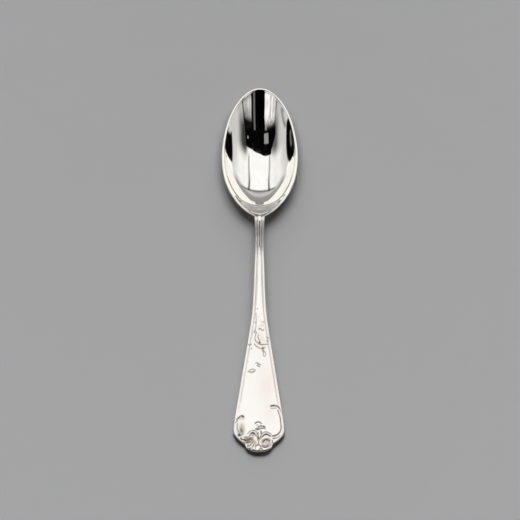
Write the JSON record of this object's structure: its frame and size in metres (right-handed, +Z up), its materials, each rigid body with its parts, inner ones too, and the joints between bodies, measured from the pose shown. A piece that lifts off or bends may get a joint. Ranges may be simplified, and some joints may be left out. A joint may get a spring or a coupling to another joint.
{
  "type": "baby spoon",
  "caption": "Small solid silver feeding spoon: egg-shaped bowl, reeded stem, and a flaring handle with threaded edges and a scroll-and-shell end.",
  "frame": {"origin": "middle of the spoon's plan box, on the table plane that the bowl and the handle end rest on", "axes": "+Y along the spoon from the handle end to the bowl tip, +Z up out of the open bowl, +X across"},
  "size_m": [0.0308, 0.15, 0.0101],
  "materials": {
    "silver_bowl": "mirror-polished silver with fine wear marks",
    "silver_handle": "polished silver, worn bright on the high parts, dark tarnish in the struck lines"
  },
  "bodies": {
    "root": {"bowl": "silver_bowl", "neck": "silver_handle", "stem": "silver_handle", "handle": "silver_handle", "terminal": "silver_handle"}
  },
  "joints": []
}
